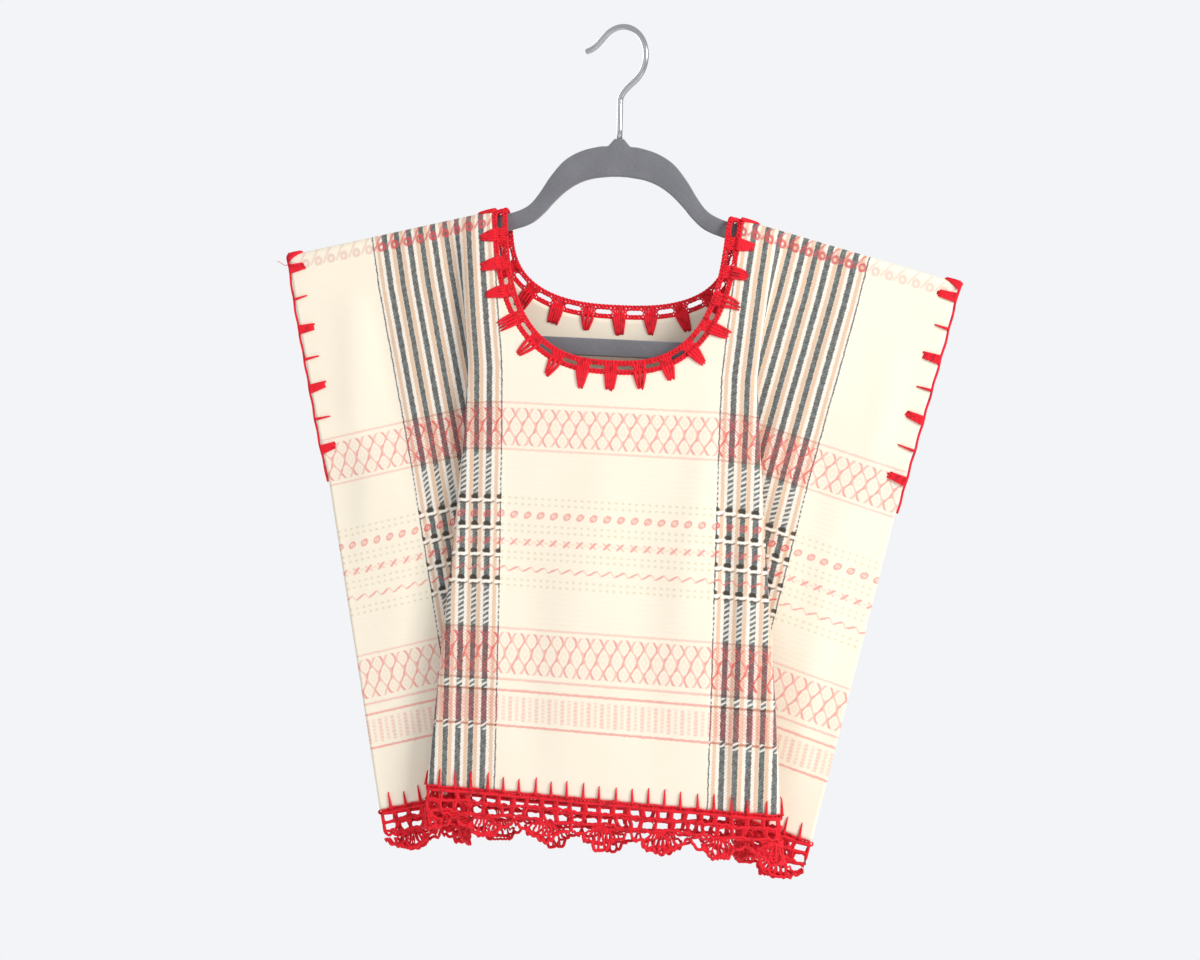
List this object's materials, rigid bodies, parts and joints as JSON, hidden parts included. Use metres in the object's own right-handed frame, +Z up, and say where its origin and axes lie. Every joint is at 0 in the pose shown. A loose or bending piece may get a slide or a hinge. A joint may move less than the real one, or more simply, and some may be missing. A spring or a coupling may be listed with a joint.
{
  "type": "crop top on a hanger",
  "caption": "Short boxy woven cotton top with scooped neck, crocheted red trims and lace hem, hanging on a slim flocked hanger.",
  "frame": {"origin": "inner top of the hanger's hook, where a rail or peg carries it", "axes": "+X to the viewer's right, +Y away from the viewer behind the back panel, +Z up"},
  "size_m": [0.4821, 0.0792, 0.6016],
  "materials": {
    "cotton_front": "cream loom-woven cotton with warp stripes and brocade bands",
    "cotton_back": "cream loom-woven cotton with warp stripes and brocade bands",
    "crochet_neck_front": "red crocheted cotton",
    "crochet_neck_back": "red crocheted cotton",
    "crochet_hem_front": "red crocheted cotton lace",
    "crochet_hem_back": "red crocheted cotton lace",
    "thread_left": "red cotton thread",
    "thread_right": "red cotton thread",
    "hanger_flock": "grey flocked plastic",
    "hook_steel": "bright steel wire"
  },
  "bodies": {
    "root": {"front_panel": "cotton_front", "back_panel": "cotton_back", "neck_band_front": "crochet_neck_front", "neck_band_back": "crochet_neck_back", "hem_lace_front": "crochet_hem_front", "hem_lace_back": "crochet_hem_back", "armhole_edging_left": "thread_left", "armhole_edging_right": "thread_right", "hanger_frame": "hanger_flock", "hanger_hook": "hook_steel"}
  },
  "joints": []
}
